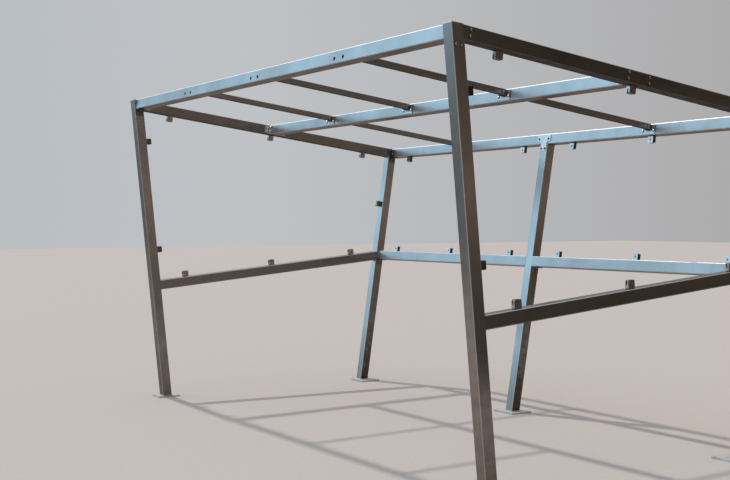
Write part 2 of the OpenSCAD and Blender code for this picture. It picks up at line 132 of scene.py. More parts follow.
def cos(degrees):
    return math.cos(rad(degrees))


def sin(degrees):
    return math.sin(rad(degrees))


# places that follow from the main sizes
SIDE_X = (FRAME_L - TUBE_W) / 2
BAY = (FRAME_L - TUBE_W) / 4
INNER_X = FRAME_L / 2 - TUBE_W - SEAT
OUTER_X = FRAME_L / 2
ROOF_Z0 = FRONT_H * (1 - tan(ROOF_FALL) * tan(FRONT_LEAN))
FRONT_TOP_Y = -tan(FRONT_LEAN) * FRONT_H
BACK_TOP_Y = (FOOT_SPAN + tan(BACK_LEAN) * ROOF_Z0) / (1 + tan(BACK_LEAN) * tan(ROOF_FALL))
U_FRONT = FRONT_TOP_Y / cos(ROOF_FALL) + FRONT_SETBACK
U_BACK = BACK_TOP_Y / cos(ROOF_FALL) + BACK_SETBACK
U_MID = (U_FRONT + U_BACK) / 2 - MID_FORWARD
MID_TOP_Y = U_BACK * cos(ROOF_FALL) - TUBE_W * sin(ROOF_FALL)
MID_TOP_Z = ROOF_Z0 - U_BACK * sin(ROOF_FALL) - TUBE_W * cos(ROOF_FALL)
MID_LEAN = math.degrees(math.atan2(MID_TOP_Y - FOOT_SPAN, MID_TOP_Z))
MID_Z = MID_TOP_Z / cos(MID_LEAN)
RAIL_BACK_Y = (FOOT_SPAN + tan(BACK_LEAN) * RAIL_H) / (1 - tan(BACK_LEAN) * tan(RAIL_RISE))
RAIL_BACK_Z = RAIL_H + RAIL_BACK_Y * tan(RAIL_RISE) + BACK_RAIL_UP
RAIL_Z = RAIL_BACK_Z / cos(MID_LEAN)
SHIFT_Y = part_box("front_post_left")[0].y - FRONT_TOP_Y
FRONT_SKEW = FRONT_LEAN + ROOF_FALL
BACK_SKEW = BACK_LEAN - ROOF_FALL
SHELF_N = TUBE_W + SHELF_BOLT
FRONT_SHELF_U = FRONT_TOP_Y / cos(ROOF_FALL) + TUBE_W / 2 / cos(FRONT_SKEW) + SHELF_N * tan(FRONT_SKEW)
BACK_SHELF_U = BACK_TOP_Y / cos(ROOF_FALL) + TUBE_W / 2 / cos(BACK_SKEW) - SHELF_N * tan(BACK_SKEW)
CORNER_SHELF_Y = TUBE_W / 2 - (RAIL_BACK_Z - SHELF_N) * (tan(MID_LEAN) - tan(BACK_LEAN)) * cos(MID_LEAN)


def tilted(y, z, degrees):
    """A frame at a place of the X = 0 plane, turned about X."""
    return Matrix.Translation((0, SHIFT_Y + y, z)) @ Matrix.Rotation(rad(degrees), 4, "X")


ROOF = tilted(0, ROOF_Z0, -ROOF_FALL)
RAIL = tilted(0, RAIL_H, RAIL_RISE)
FRONT_POST = tilted(0, 0, FRONT_LEAN)
BACK_POST = tilted(FOOT_SPAN, 0, -BACK_LEAN)
MID_POST = tilted(FOOT_SPAN, 0, -MID_LEAN)


# how much light metal keeps where it is seen almost edge-on, as an oxide film leaves it
EDGE_TINT = (0.52, 0.50, 0.49, 1.0)


# node helpers for the materials
def new_material(name):
    material = bpy.data.materials.new(name)
    material.use_nodes = True
    nodes = material.node_tree.nodes
    nodes.clear()
    shader = nodes.new("ShaderNodeBsdfPrincipled")
    output = nodes.new("ShaderNodeOutputMaterial")
    material.node_tree.links.new(shader.outputs[0], output.inputs[0])
    return material, shader


def link(material, source, target):
    material.node_tree.links.new(source, target)


def noise(material, scale, stretch=(1, 1, 1), detail=4.0, roughness=0.6, seed=0.0):
    """A noise value over the object's own metres; stretch slows it along an axis."""
    nodes = material.node_tree.nodes
    place = nodes.new("ShaderNodeTexCoord")
    mapping = nodes.new("ShaderNodeMapping")
    mapping.inputs["Scale"].default_value = stretch
    mapping.inputs["Location"].default_value = (seed, 1.7 * seed, -seed)
    texture = nodes.new("ShaderNodeTexNoise")
    texture.inputs["Scale"].default_value = scale
    texture.inputs["Detail"].default_value = detail
    texture.inputs["Roughness"].default_value = roughness
    link(material, place.outputs["Object"], mapping.inputs["Vector"])
    link(material, mapping.outputs["Vector"], texture.inputs["Vector"])
    return texture.outputs["Fac"]


def span(material, value, low, high, to_low=0.0, to_high=1.0):
    node = material.node_tree.nodes.new("ShaderNodeMapRange")
    node.inputs["From Min"].default_value = low
    node.inputs["From Max"].default_value = high
    node.inputs["To Min"].default_value = to_low
    node.inputs["To Max"].default_value = to_high
    link(material, value, node.inputs["Value"])
    return node.outputs["Result"]


def mixed(material, factor, first, second, blend="MIX"):
    """A colour between two colours or sockets, by a factor or a socket."""
    node = material.node_tree.nodes.new("ShaderNodeMix")
    node.data_type = "RGBA"
    node.blend_type = blend
    for value, socket in ((factor, node.inputs[0]), (first, node.inputs[6]), (second, node.inputs[7])):
        if isinstance(value, bpy.types.NodeSocket):
            link(material, value, socket)
        elif isinstance(value, tuple):
            socket.default_value = (*value, 1.0)
        else:
            socket.default_value = value
    return node.outputs[2]


def added(material, first, second, operation="ADD"):
    node = material.node_tree.nodes.new("ShaderNodeMath")
    node.operation = operation
    for value, socket in ((first, node.inputs[0]), (second, node.inputs[1])):
        if isinstance(value, bpy.types.NodeSocket):
            link(material, value, socket)
        else:
            socket.default_value = value
    return node.outputs[0]


def bumped(material, shader, height, distance, strength=1.0):
    node = material.node_tree.nodes.new("ShaderNodeBump")
    node.inputs["Strength"].default_value = strength
    node.inputs["Distance"].default_value = distance
    link(material, height, node.inputs["Height"])
    link(material, node.outputs["Normal"], shader.inputs["Normal"])


def parts_of(material, coordinate):
    """The X, Y and Z of the object's own place or direction of surface."""
    nodes = material.node_tree.nodes
    place = nodes.new("ShaderNodeTexCoord")
    parts = nodes.new("ShaderNodeSeparateXYZ")
    link(material, place.outputs[coordinate], parts.inputs[0])
    return parts.outputs


def low_down(material, height):
    """1 at the floor, falling to 0 at a height above it."""
    return span(material, parts_of(material, "Object")["Z"], 0.0, height, 1.0, 0.0)


def facing_down(material, until):
    """1 on undersides, 0 where the upward part of the surface's direction is above a value."""
    return span(material, parts_of(material, "Normal")["Z"], until - 0.37, until, 1.0, 0.0)


def toward_ends(material):
    """1 on the sides that face along X, 0 on the others."""
    size = added(material, parts_of(material, "Normal")["X"], 0.0, "ABSOLUTE")
    return span(material, size, 0.6, 0.9)


def on_corners(material):
    """1 on the rounded corners of a tube, 0 on its flat faces."""
    sizes = [added(material, part, 0.0, "ABSOLUTE") for part in parts_of(material, "Normal")]
    largest = added(material, added(material, sizes[0], sizes[1], "MAXIMUM"), sizes[2], "MAXIMUM")
    return span(material, largest, 0.90, 0.97, 1.0, 0.0)


def enclosed(material, open_low, open_high, reach, own_only):
    """1 in crevices and inside tubes, 0 where a surface is open to its surroundings."""
    node = material.node_tree.nodes.new("ShaderNodeAmbientOcclusion")
    node.only_local = own_only
    node.samples = 6
    node.inputs["Distance"].default_value = reach
    return span(material, node.outputs["AO"], open_low, open_high, 1.0, 0.0)


LONG_AXES = {"x": (0.02, 1, 1), "y": (1, 0.02, 1), "z": (1, 1, 0.02)}
# the grime under the tubes that run along each axis, partly painted shade on their undersides: how matt it
# is, how far up it reaches, its colour and how much of it there is at least
FILM = {"x": 0.0, "y": 0.95, "z": 0.0}
REACH = {"x": -0.55, "y": -0.08, "z": -0.55}
GRIME_AND_SHADE = {"x": (0.18, 0.135, 0.115), "y": (0.045, 0.034, 0.030), "z": (0.18, 0.135, 0.115)}
GRIME_AND_SHADE_LEAST = {"x": 0.6, "y": 0.85, "z": 0.6}
# how rough their metal is
ROUGH = {"x": (0.30, 0.38), "y": (0.18, 0.24), "z": (0.19, 0.26)}
# how bright the wear on their corners is
WEAR = {"x": 0.6, "y": 0.6, "z": 0.25}
# the colours of the tubes, their marks, their dirt, and the painted shade and painted highlight on them
STEEL_LIGHT = (0.49, 0.488, 0.475)
STEEL_DARK = (0.415, 0.41, 0.395)
STREAK = (0.30, 0.285, 0.26)
FOOT_DIRT = (0.22, 0.18, 0.15)
# a brown tone of the front posts, strongest toward the floor
BROWNING = (0.235, 0.19, 0.16)
# soot with painted shade: the dark of the sides that face along X
SOOT_AND_SHADE = (0.075, 0.062, 0.053)
SCUFF = (0.62, 0.62, 0.61)
SPECK = (0.22, 0.20, 0.18)
WORN = (0.80, 0.79, 0.77)
# pale and matt: a painted highlight on upper corners and on the rim at the top of the front posts
PALE_HIGHLIGHT = (0.90, 0.91, 0.92)
PALE_HIGHLIGHT_ROUGH = 0.52
INSIDE_SHADE = (0.02, 0.022, 0.026)
# how far above the floor the dirt, the soot with painted shade and the brown tone reach, and how far below
# their top the front posts have a rim of painted highlight
FOOT_DIRT_TO = 0.5
SOOT_AND_SHADE_TO = 1.7
BROWNING_TO = 6.0
TOP_RIM = 0.010


def tube_metal(name, axis, highlit=False, browned=False, low_end_soot_and_shade=0.0, end_soot_and_shade=0.0):
    """Satin tube: drawn lines along it, dull patches, faint streaks, scuffs, worn corners, grime and painted
    shade below.

    The upper corners of some tubes carry a painted highlight, pale and matt, and their insides painted shade,
    black.
    Browned tubes get browner all round, most toward the floor, with a rim of painted highlight at the top.
    Some tubes are darker on the sides that face along X, partly soot and partly painted shade, the posts most
    of all at the foot.
    """
    material, shader = new_material(name)
    lines = noise(material, 900, LONG_AXES[axis], 3.0, 0.7)
    scuffs = noise(material, 150, LONG_AXES[axis], 5.0, 0.7, 5.3)
    patches = noise(material, 3.2, (1, 1, 0.6), 5.0, 0.6, 3.1)
    drips = noise(material, 70, (1, 1, 0.05), 4.0, 0.6, 7.7)
    specks = noise(material, 260, (1, 1, 1), 2.0, 0.5, 1.3)
    soot = noise(material, 14, (1, 1, 1), 5.0, 0.65, 4.4)

    colour = mixed(material, span(material, patches, 0.38, 0.66), STEEL_LIGHT, STEEL_DARK)
    colour = mixed(material, span(material, drips, 0.58, 0.80, 0.0, 0.30), colour, STREAK)
    foot = added(material, low_down(material, FOOT_DIRT_TO), drips, "MULTIPLY")
    colour = mixed(material, foot, colour, FOOT_DIRT)
    uneven = span(material, soot, 0.25, 0.75, 0.6, 1.1)
    end_sides = toward_ends(material)
    # painted shade with soot: the sides that face along X are darkened
    if end_soot_and_shade:
        colour = mixed(material, span(material, end_sides, 0.0, 1.0, 0.0, end_soot_and_shade), colour, SOOT_AND_SHADE)
    # the front posts are browner all round, most toward the floor
    if browned:
        brown_share = added(material, low_down(material, BROWNING_TO), uneven, "MULTIPLY")
        brown_share = added(material, brown_share, span(material, end_sides, 0.0, 1.0, 1.0, 0.45), "MULTIPLY")
        colour = mixed(material, brown_share, colour, BROWNING)
    # painted shade with soot: the sides that face along X are darkened, most toward the floor
    if low_end_soot_and_shade:
        end_darkening = added(material, low_down(material, SOOT_AND_SHADE_TO), uneven, "MULTIPLY")
        end_darkening = added(material, end_darkening, end_sides, "MULTIPLY")
        colour = mixed(material, added(material, end_darkening, low_end_soot_and_shade, "MULTIPLY"), colour, SOOT_AND_SHADE)
    colour = mixed(material, span(material, scuffs, 0.70, 0.76, 0.0, 0.35), colour, SCUFF)
    colour = mixed(material, span(material, specks, 0.68, 0.73, 0.0, 0.5), colour, SPECK)
    corners = on_corners(material)
    colour = mixed(material, span(material, corners, 0.0, 1.0, 0.0, WEAR[axis]), colour, WORN)
    cover = span(material, soot, 0.3, 0.7, GRIME_AND_SHADE_LEAST[axis], 0.95)
    # painted shade with grime: undersides are darkened, and dulled where they face down
    below = added(material, facing_down(material, REACH[axis]), cover, "MULTIPLY")
    colour = mixed(material, below, colour, GRIME_AND_SHADE[axis])

    rough = span(material, patches, 0.3, 0.7, *ROUGH[axis])
    rough = added(material, rough, span(material, lines, 0.3, 0.7, -0.012, 0.02))
    rough = added(material, rough, span(material, below, 0.0, 1.0, 0.0, FILM[axis]), "MAXIMUM")
    # painted highlight: the upper corners of the roof beams, and a rim at the top of the front posts, pale
    # and matt
    if highlit:
        upper = span(material, parts_of(material, "Normal")["Z"], 0.15, 0.40)
        pale = added(material, upper, corners, "MULTIPLY")
    elif browned:
        height = parts_of(material, "Object")["Z"]
        pale = span(material, height, FRONT_H - TOP_RIM, FRONT_H - 0.6 * TOP_RIM)
    if highlit or browned:
        colour = mixed(material, pale, colour, PALE_HIGHLIGHT)
        # painted shade: black inside the tubes and in deep recesses
        colour = mixed(material, enclosed(material, 0.15, 0.65, TUBE_W, True), colour, INSIDE_SHADE)
        rough = added(material, rough, span(material, pale, 0.0, 1.0, 0.0, PALE_HIGHLIGHT_ROUGH), "MAXIMUM")

    link(material, colour, shader.inputs["Base Color"])
    link(material, rough, shader.inputs["Roughness"])
    link(material, span(material, below, 0.0, 1.0, 1.0, 1.0 - FILM[axis]), shader.inputs["Metallic"])
    shader.inputs["Specular Tint"].default_value = EDGE_TINT
    shader.inputs["Specular IOR Level"].default_value = 0.0
    bumped(material, shader, added(material, lines, specks), 0.00012, 0.12)
    return material


# dirt and painted shade in the crevices of the purlin shoes, and soot and painted shade on the clamps of the
# posts and the back
CREVICE_DIRT_AND_SHADE = (0.07, 0.062, 0.055)
CLAMP_SOOT_AND_SHADE = (0.16, 0.145, 0.13)


def cast_metal(name, light, dark, rough, grain, metallic=1.0, relief=0.4, shaded_crevices=False, dark_ends=False):
    """Dull dappled metal of the brackets, plates, clamps and fasteners.

    Some metal is darkened in its crevices by dirt and painted shade, and some on the sides that face along X
    by soot and painted shade.
    """
    material, shader = new_material(name)
    patches = noise(material, 22, (1, 1, 1), 5.0, 0.6, 2.2)
    fine = noise(material, grain, (1, 1, 1), 3.0, 0.6, 5.0)
    colour = mixed(material, span(material, patches, 0.38, 0.64), light, dark)
    pits = tuple(0.5 * c for c in dark)
    colour = mixed(material, span(material, fine, 0.62, 0.75, 0.0, 0.5), colour, pits)
    # painted shade with dirt: darker in the crevices, where surroundings close in
    if shaded_crevices:
        colour = mixed(material, enclosed(material, 0.45, 0.85, TUBE_W / 2, False), colour, CREVICE_DIRT_AND_SHADE)
    # painted shade with soot: the sides that face along X are darkened
    if dark_ends:
        colour = mixed(material, toward_ends(material), colour, CLAMP_SOOT_AND_SHADE)
    link(material, colour, shader.inputs["Base Color"])
    shader.inputs["Metallic"].default_value = metallic
    shader.inputs["Specular Tint"].default_value = EDGE_TINT
    link(material, span(material, patches, 0.3, 0.7, *rough), shader.inputs["Roughness"])
    bumped(material, shader, fine, 0.0003, relief)
    return material


def weld_metal():
    """Ground weld with a burnt, brownish tint."""
    material, shader = new_material("weld_metal")
    patches = noise(material, 90, (1, 1, 1), 4.0, 0.6, 4.0)
    colour = mixed(material, span(material, patches, 0.35, 0.65), (0.50, 0.48, 0.46), (0.26, 0.22, 0.19))
    link(material, colour, shader.inputs["Base Color"])
    shader.inputs["Metallic"].default_value = 1.0
    link(material, span(material, patches, 0.3, 0.7, 0.35, 0.55), shader.inputs["Roughness"])
    bumped(material, shader, patches, 0.0004, 0.5)
    return material


def pad_rubber():
    """Black rubber with some dust."""
    material, shader = new_material("pad_rubber")
    fine = noise(material, 700, (1, 1, 1), 3.0, 0.6, 6.0)
    dust = noise(material, 60, (1, 1, 1), 4.0, 0.6, 8.0)
    dusty = span(material, dust, 0.45, 0.75, 0.0, 0.6)
    colour = mixed(material, dusty, (0.022, 0.022, 0.023), (0.11, 0.10, 0.09))
    link(material, colour, shader.inputs["Base Color"])
    link(material, span(material, fine, 0.3, 0.7, 0.6, 0.85), shader.inputs["Roughness"])
    bumped(material, shader, fine, 0.0002, 0.5)
    return material


BACK_RAIL = tube_metal("back_rail_metal", "x")
# end frames, purlins and posts: soot and painted shade on the sides that face along X
END_FRAME = tube_metal("end_frame_metal", "y", end_soot_and_shade=0.42)
PURLIN = tube_metal("purlin_metal", "y", end_soot_and_shade=0.2)
# the roof beams: a painted highlight on their upper corners
ROOF_BEAM = tube_metal("roof_beam_metal", "x", highlit=True)
FRONT_POST_METAL = tube_metal("front_post_metal", "z", browned=True, low_end_soot_and_shade=0.7)
BACK_POST_METAL = tube_metal("back_post_metal", "z", low_end_soot_and_shade=1.3)
# the purlin shoes: dirt and painted shade in their crevices
SHOE = cast_metal(
    "shoe_metal", (0.50, 0.50, 0.50), (0.38, 0.375, 0.37), (0.12, 0.20), 420, relief=0.06, shaded_crevices=True)
SHELF = cast_metal(
    "shelf_metal", (0.24, 0.23, 0.22), (0.16, 0.15, 0.14), (0.20, 0.30), 420, relief=0.06)
CLEAT = cast_metal(
    "cleat_metal", (0.74, 0.73, 0.72), (0.56, 0.55, 0.54), (0.24, 0.34), 420, relief=0.06)
PLATE = cast_metal(
    "plate_metal", (0.60, 0.585, 0.56), (0.42, 0.395, 0.37), (0.40, 0.60), 300, metallic=0.55)
JOINT = cast_metal(
    "joint_metal", (0.72, 0.73, 0.74), (0.60, 0.61, 0.62), (0.36, 0.48), 300, metallic=0.7)
# clamps of the posts and the back: soot and painted shade on the sides that face along X
SOOTY_SHADED_CLAMP = cast_metal(
    "sooty_shaded_clamp_metal", (0.64, 0.585, 0.54), (0.48, 0.435, 0.40), (0.10, 0.16), 500, relief=0.03,
    dark_ends=True)
END_CLAMP = cast_metal(
    "end_clamp_metal", (0.56, 0.525, 0.50), (0.42, 0.385, 0.36), (0.16, 0.24), 500, relief=0.05)
BOLT = cast_metal(
    "bolt_metal", (0.36, 0.345, 0.33), (0.24, 0.22, 0.20), (0.16, 0.26), 800, relief=0.1)
# pale bolts, partly a painted highlight: lighter than the other bolts where they face bright light
PALE_BOLT = cast_metal(
    "pale_bolt_metal", (0.93, 0.93, 0.93), (0.78, 0.78, 0.78), (0.26, 0.34), 800, relief=0.1)
# dark metal; on the washers round the dome heads the dark is partly dirt and partly painted shade of the gap
DARK_BOLT = cast_metal(
    "dark_bolt_metal", (0.12, 0.11, 0.105), (0.06, 0.052, 0.045), (0.35, 0.55), 800)
WELD = weld_metal()
RUBBER = pad_rubber()


def node_material(name):
    """The finish of a CAD node, by its name."""
    if "clamps" in name:
        return END_CLAMP if name.startswith("end_") else SOOTY_SHADED_CLAMP
    if "base_plate" in name:
        return PLATE
    if name == "joint_plate":
        return JOINT
    if name == "back_beam_cleats" or "shelves" in name:
        return SHELF
    if "cleats" in name:
        return CLEAT
    if "shoes" in name:
        return SHOE
    if name.startswith("front_post"):
        return FRONT_POST_METAL
    if "post" in name:
        return BACK_POST_METAL
    if name in ("front_beam", "middle_beam", "back_beam"):
        return ROOF_BEAM
    if "purlin" in name:
        return PURLIN
    if name.startswith("end_"):
        return END_FRAME
    return BACK_RAIL


def dress_nodes():
    """The finish of every CAD node, in its material slots."""
    for name, node in frame["nodes"].items():
        material = node_material(name)
        if not node.material_slots:
            node.data.materials.append(material)
        for slot in node.material_slots:
            slot.material = material


# meshes of turned and six-sided fasteners, each standing on Z = 0 and pointing up
STEPS = 24


def round_ring(radius):
    return lambda angle: radius


def hex_ring(across, corner):
    """A hexagon of a width across flats, its corners cut by a circle."""
    def radius(angle):
        part = (math.degrees(angle) % 60) - 30
        return min(across / 2 / cos(part), corner)
    return radius


def turned(rings):
    """Vertices and faces of a closed form made of rings, each a radius rule and a height."""
    vertices, faces = [], []
    for radius, height in rings:
        for step in range(STEPS):
            angle = math.tau * step / STEPS
            reach = radius(angle)
            vertices.append(Vector((reach * math.cos(angle), reach * math.sin(angle), height)))
    for ring in range(len(rings) - 1):
        for step in range(STEPS):
            after = (step + 1) % STEPS
            low, high = ring * STEPS, (ring + 1) * STEPS
            faces.append((low + step, low + after, high + after, high + step))
    last = (len(rings) - 1) * STEPS
    faces.append(tuple(reversed(range(STEPS))))
    faces.append(tuple(last + step for step in range(STEPS)))
    return vertices, faces


def washer(diameter, thick=0.0016):
    edge = 0.0003
    return turned([
        (round_ring(diameter / 2), 0),
        (round_ring(diameter / 2), thick - edge),
        (round_ring(diameter / 2 - edge), thick),
    ])


def dome_head(diameter, height, across, base=0.0):
    """A button head with a hexagon socket."""
    rim = 0.0006
    rings = [(round_ring(diameter / 2), base), (round_ring(diameter / 2), base + rim)]
    arc = 6
    flat = across * 0.75
    for step in range(1, arc + 1):
        part = 90 * step / arc
        radius = flat + (diameter / 2 - flat) * cos(part)
        rings.append((round_ring(radius), base + rim + (height - rim) * sin(part)))
    rings.append((hex_ring(across, across), base + height))
    rings.append((hex_ring(across * 0.98, across), base + height * 0.35))
    rings.append((round_ring(across * 0.1), base + height * 0.25))
    return turned(rings)


def hex_body(across, height, base=0.0, bore=0.0):
    """A six-sided head or nut with chamfered corners, and a threaded end in it when bore is given."""
    corner = across / 2 / cos(30)
    cut = 0.0009
    rings = [
        (hex_ring(across, corner * 0.97), base),
        (hex_ring(across, corner), base + cut * 0.6),
        (hex_ring(across, corner), base + height - cut),
        (hex_ring(across, corner * 0.93), base + height - cut * 0.25),
        (round_ring(across * 0.46), base + height),
    ]
    if bore:
        rings += [
            (round_ring(bore * 0.56), base + height - 0.0002),
            (round_ring(bore * 0.50), base + height - 0.0008),
            (round_ring(bore * 0.50), base + height + 0.0030),
            (round_ring(bore * 0.40), base + height + 0.0038),
        ]
    return turned(rings)


WASHER_T = 0.0016
HEAD = [dome_head(0.0172, 0.0062, 0.006, WASHER_T)]
# a washer wider than the head, dark: dirt and painted shade round each head
HEAD_WASHER = [washer(0.0225)]
JOINT_HEAD = [dome_head(0.0165, 0.0062, 0.006)]
NUT = [washer(0.017), hex_body(0.013, 0.0065, WASHER_T, 0.008)]
HEX_HEAD = [washer(0.018), hex_body(0.013, 0.0053, WASHER_T)]
INNER_NUT = [hex_body(0.013, 0.0065, 0.0, 0.008)]
SCREW = [dome_head(0.0132, 0.0052, 0.005)]


def placed(frame_at, place, out, form):
    """The parts of a form, set at a place of a frame and pointing out along an axis of that frame."""
    turn = Vector(out).to_track_quat("Z", "Y").to_matrix().to_4x4()
    spin = Matrix.Rotation(random.uniform(0, math.tau), 4, "Z")
    at = frame_at @ Matrix.Translation(place) @ turn @ spin
    return [([at @ v for v in vertices], faces) for vertices, faces in form]


def piece(name, parts, material, smooth=40):
    """One object made of several closed forms, riding on the frame."""
    vertices, faces = [], []
    for part_vertices, part_faces in parts:
        start = len(vertices)
        vertices += [tuple(v) for v in part_vertices]
        faces += [tuple(start + i for i in face) for face in part_faces]
    mesh = bpy.data.meshes.new(name)
    mesh.from_pydata(vertices, [], faces)
    mesh.validate()
    mesh.shade_smooth()
    mesh.set_sharp_from_angle(angle=rad(smooth))
    made = bpy.data.objects.new(name, mesh)
    bpy.context.scene.collection.objects.link(made)
    made.data.materials.append(material)
    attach(made, "root")
    return made


def dome_bolt(heads, washers, frame_at, place, out):
    """A dome head on its washer, added to two lists."""
    washers += placed(frame_at, place, out, HEAD_WASHER)
    heads += placed(frame_at, place, out, HEAD)


def shelf_fasteners():
    """Bolts of the shelf brackets: two through each post and one up into each beam."""
    heads, washers, nuts, under = [], [], [], []
    roof_z = -TUBE_W - SEAT
    post_z = RAIL_Z - TUBE_W - SEAT
    inner_face = INNER_X - BRACKET_T
    corners = [
        (ROOF, FRONT_SHELF_U, roof_z),
        (ROOF, BACK_SHELF_U, roof_z),
        (MID_POST, CORNER_SHELF_Y, post_z),
    ]
    for at, y, z in corners:
        for side in (-1, 1):
            for step in (-1, 1):
                bolt_y = y + step * SHELF_PITCH / 2
                dome_bolt(heads, washers, at, (side * OUTER_X, bolt_y, z - SHELF_BOLT), (side, 0, 0))
                nuts += placed(at, (side * inner_face, bolt_y, z - SHELF_BOLT), (-side, 0, 0), NUT)
            under_x = side * (INNER_X - SHELF_BEAM_BOLT)
            under += placed(at, (under_x, y, z - BRACKET_T), (0, 0, -1), HEX_HEAD)
    face = TUBE_W / 2 + SEAT + BRACKET_T
    for step in (-1, 1):
        bolt_y = TUBE_W / 2 + step * SHELF_PITCH / 2
        dome_bolt(heads, washers, MID_POST, (face, bolt_y, post_z - SHELF_BOLT), (1, 0, 0))
        nuts += placed(MID_POST, (-face, bolt_y, post_z - SHELF_BOLT), (-1, 0, 0), NUT)
        x = step * (TUBE_W / 2 + SEAT + SHELF_BEAM_BOLT)
        under += placed(MID_POST, (x, TUBE_W / 2, post_z - BRACKET_T), (0, 0, -1), HEX_HEAD)
    piece("shelf_bolt_heads", heads, BOLT)
    piece("shelf_bolt_washers", washers, DARK_BOLT)
    piece("shelf_bolt_nuts", nuts, BOLT)
    piece("shelf_beam_bolts", under, BOLT)


def cleat_fasteners():
    """Bolts of the cleats: two through the end beam and two into the long beam, at each end.

    Inside the frame they are bright, but dull on the cleats of the back beam.
    """
    heads, washers, nuts, beam_heads, dull = [], [], [], [], []
    cleats = [
        (U_FRONT + TUBE_W, 1, CLEAT_BOLT),
        (U_MID, -1, CLEAT_BOLT),
        (U_MID + TUBE_W, 1, LONG_BOLT),
        (U_BACK, -1, CLEAT_BOLT),
    ]
    for u, way, leg_bolt in cleats:
        at_u = u + way * (leg_bolt + SEAT)
        face = u + way * (SEAT + BRACKET_T)
        inside, on_beam = (dull, dull) if u == U_BACK else (nuts, beam_heads)
        for side in (-1, 1):
            beam_x = side * (INNER_X - CLEAT_BOLT)
            for down in (CLEAT_BOLT_TOP, CLEAT_BOLT_TOP + CLEAT_PITCH):
                dome_bolt(heads, washers, ROOF, (side * OUTER_X, at_u, -down), (side, 0, 0))
                inside += placed(ROOF, (side * (INNER_X - BRACKET_T), at_u, -down), (-side, 0, 0), NUT)
                dome_bolt(on_beam, washers, ROOF, (beam_x, face, -down), (0, way, 0))
    piece("cleat_bolt_heads", heads, BOLT)
    piece("cleat_bolt_washers", washers, DARK_BOLT)
    piece("cleat_bolt_nuts", nuts, PALE_BOLT)
    piece("cleat_beam_bolts", beam_heads, PALE_BOLT)
    piece("back_cleat_fasteners", dull, BOLT)


def shoe_fasteners():
    """Bolts of the purlin shoes. Those of the front and the back beam have their nuts inside the tube."""
    heads, washers, nuts, inner = [], [], [], []
    seat = SEAT / 2
    for x in (-BAY, 0, BAY):
        for step in (-1, 1):
            at_x = x + step * SHOE_PITCH / 2
            dome_bolt(heads, washers, ROOF, (at_x, U_FRONT + TUBE_W + seat + SHOE_T, -SHOE_BOLT), (0, 1, 0))
            inner += placed(ROOF, (at_x, U_FRONT + TUBE_W - TUBE_WALL, -SHOE_BOLT), (0, -1, 0), INNER_NUT)
            dome_bolt(heads, washers, ROOF, (at_x, U_MID - seat - SHOE_T, -SHOE_BOLT), (0, -1, 0))
            back = U_MID + TUBE_W + (seat + SHOE_T if x else 0)
            nuts += placed(ROOF, (at_x, back, -SHOE_BOLT), (0, 1, 0), NUT)
            if x:
                dome_bolt(heads, washers, ROOF, (at_x, U_BACK - seat - SHOE_T, -SHOE_BOLT), (0, -1, 0))
                inner += placed(ROOF, (at_x, U_BACK + TUBE_WALL, -SHOE_BOLT), (0, 1, 0), INNER_NUT)
    piece("shoe_bolt_heads", heads, PALE_BOLT)
    piece("shoe_bolt_washers", washers, DARK_BOLT)
    piece("shoe_bolt_nuts", nuts, BOLT)
    piece("shoe_inner_nuts", inner, BOLT)


def joint_fasteners():
    """The four bolts of the joint plate over the middle back post."""
    heads = []
    for step in (-1, 1):
        beam_at = (step * JOINT_PITCH / 2, U_BACK - SEAT - JOINT_T, -JOINT_TOP - JOINT_BOLT)
        stem_at = (step * STEM_PITCH / 2, -SEAT - JOINT_T, MID_Z - STEM_BOLT)
        heads += placed(ROOF, beam_at, (0, -1, 0), JOINT_HEAD)
        heads += placed(MID_POST, stem_at, (0, -1, 0), JOINT_HEAD)
    piece("joint_plate_bolts", heads, DARK_BOLT)


def spread(first, last):
    return [first, (first + last) / 2, last]


def up_the_post(lean, foot_y, face_y, height, slope):
    """How far up the face of a post it meets a sloping line, given by its height at Y = 0 and its slope."""
    toward = face_y * (cos(lean) * slope - sin(lean))
    return (height + foot_y * slope + toward) / (cos(lean) + sin(lean) * slope)


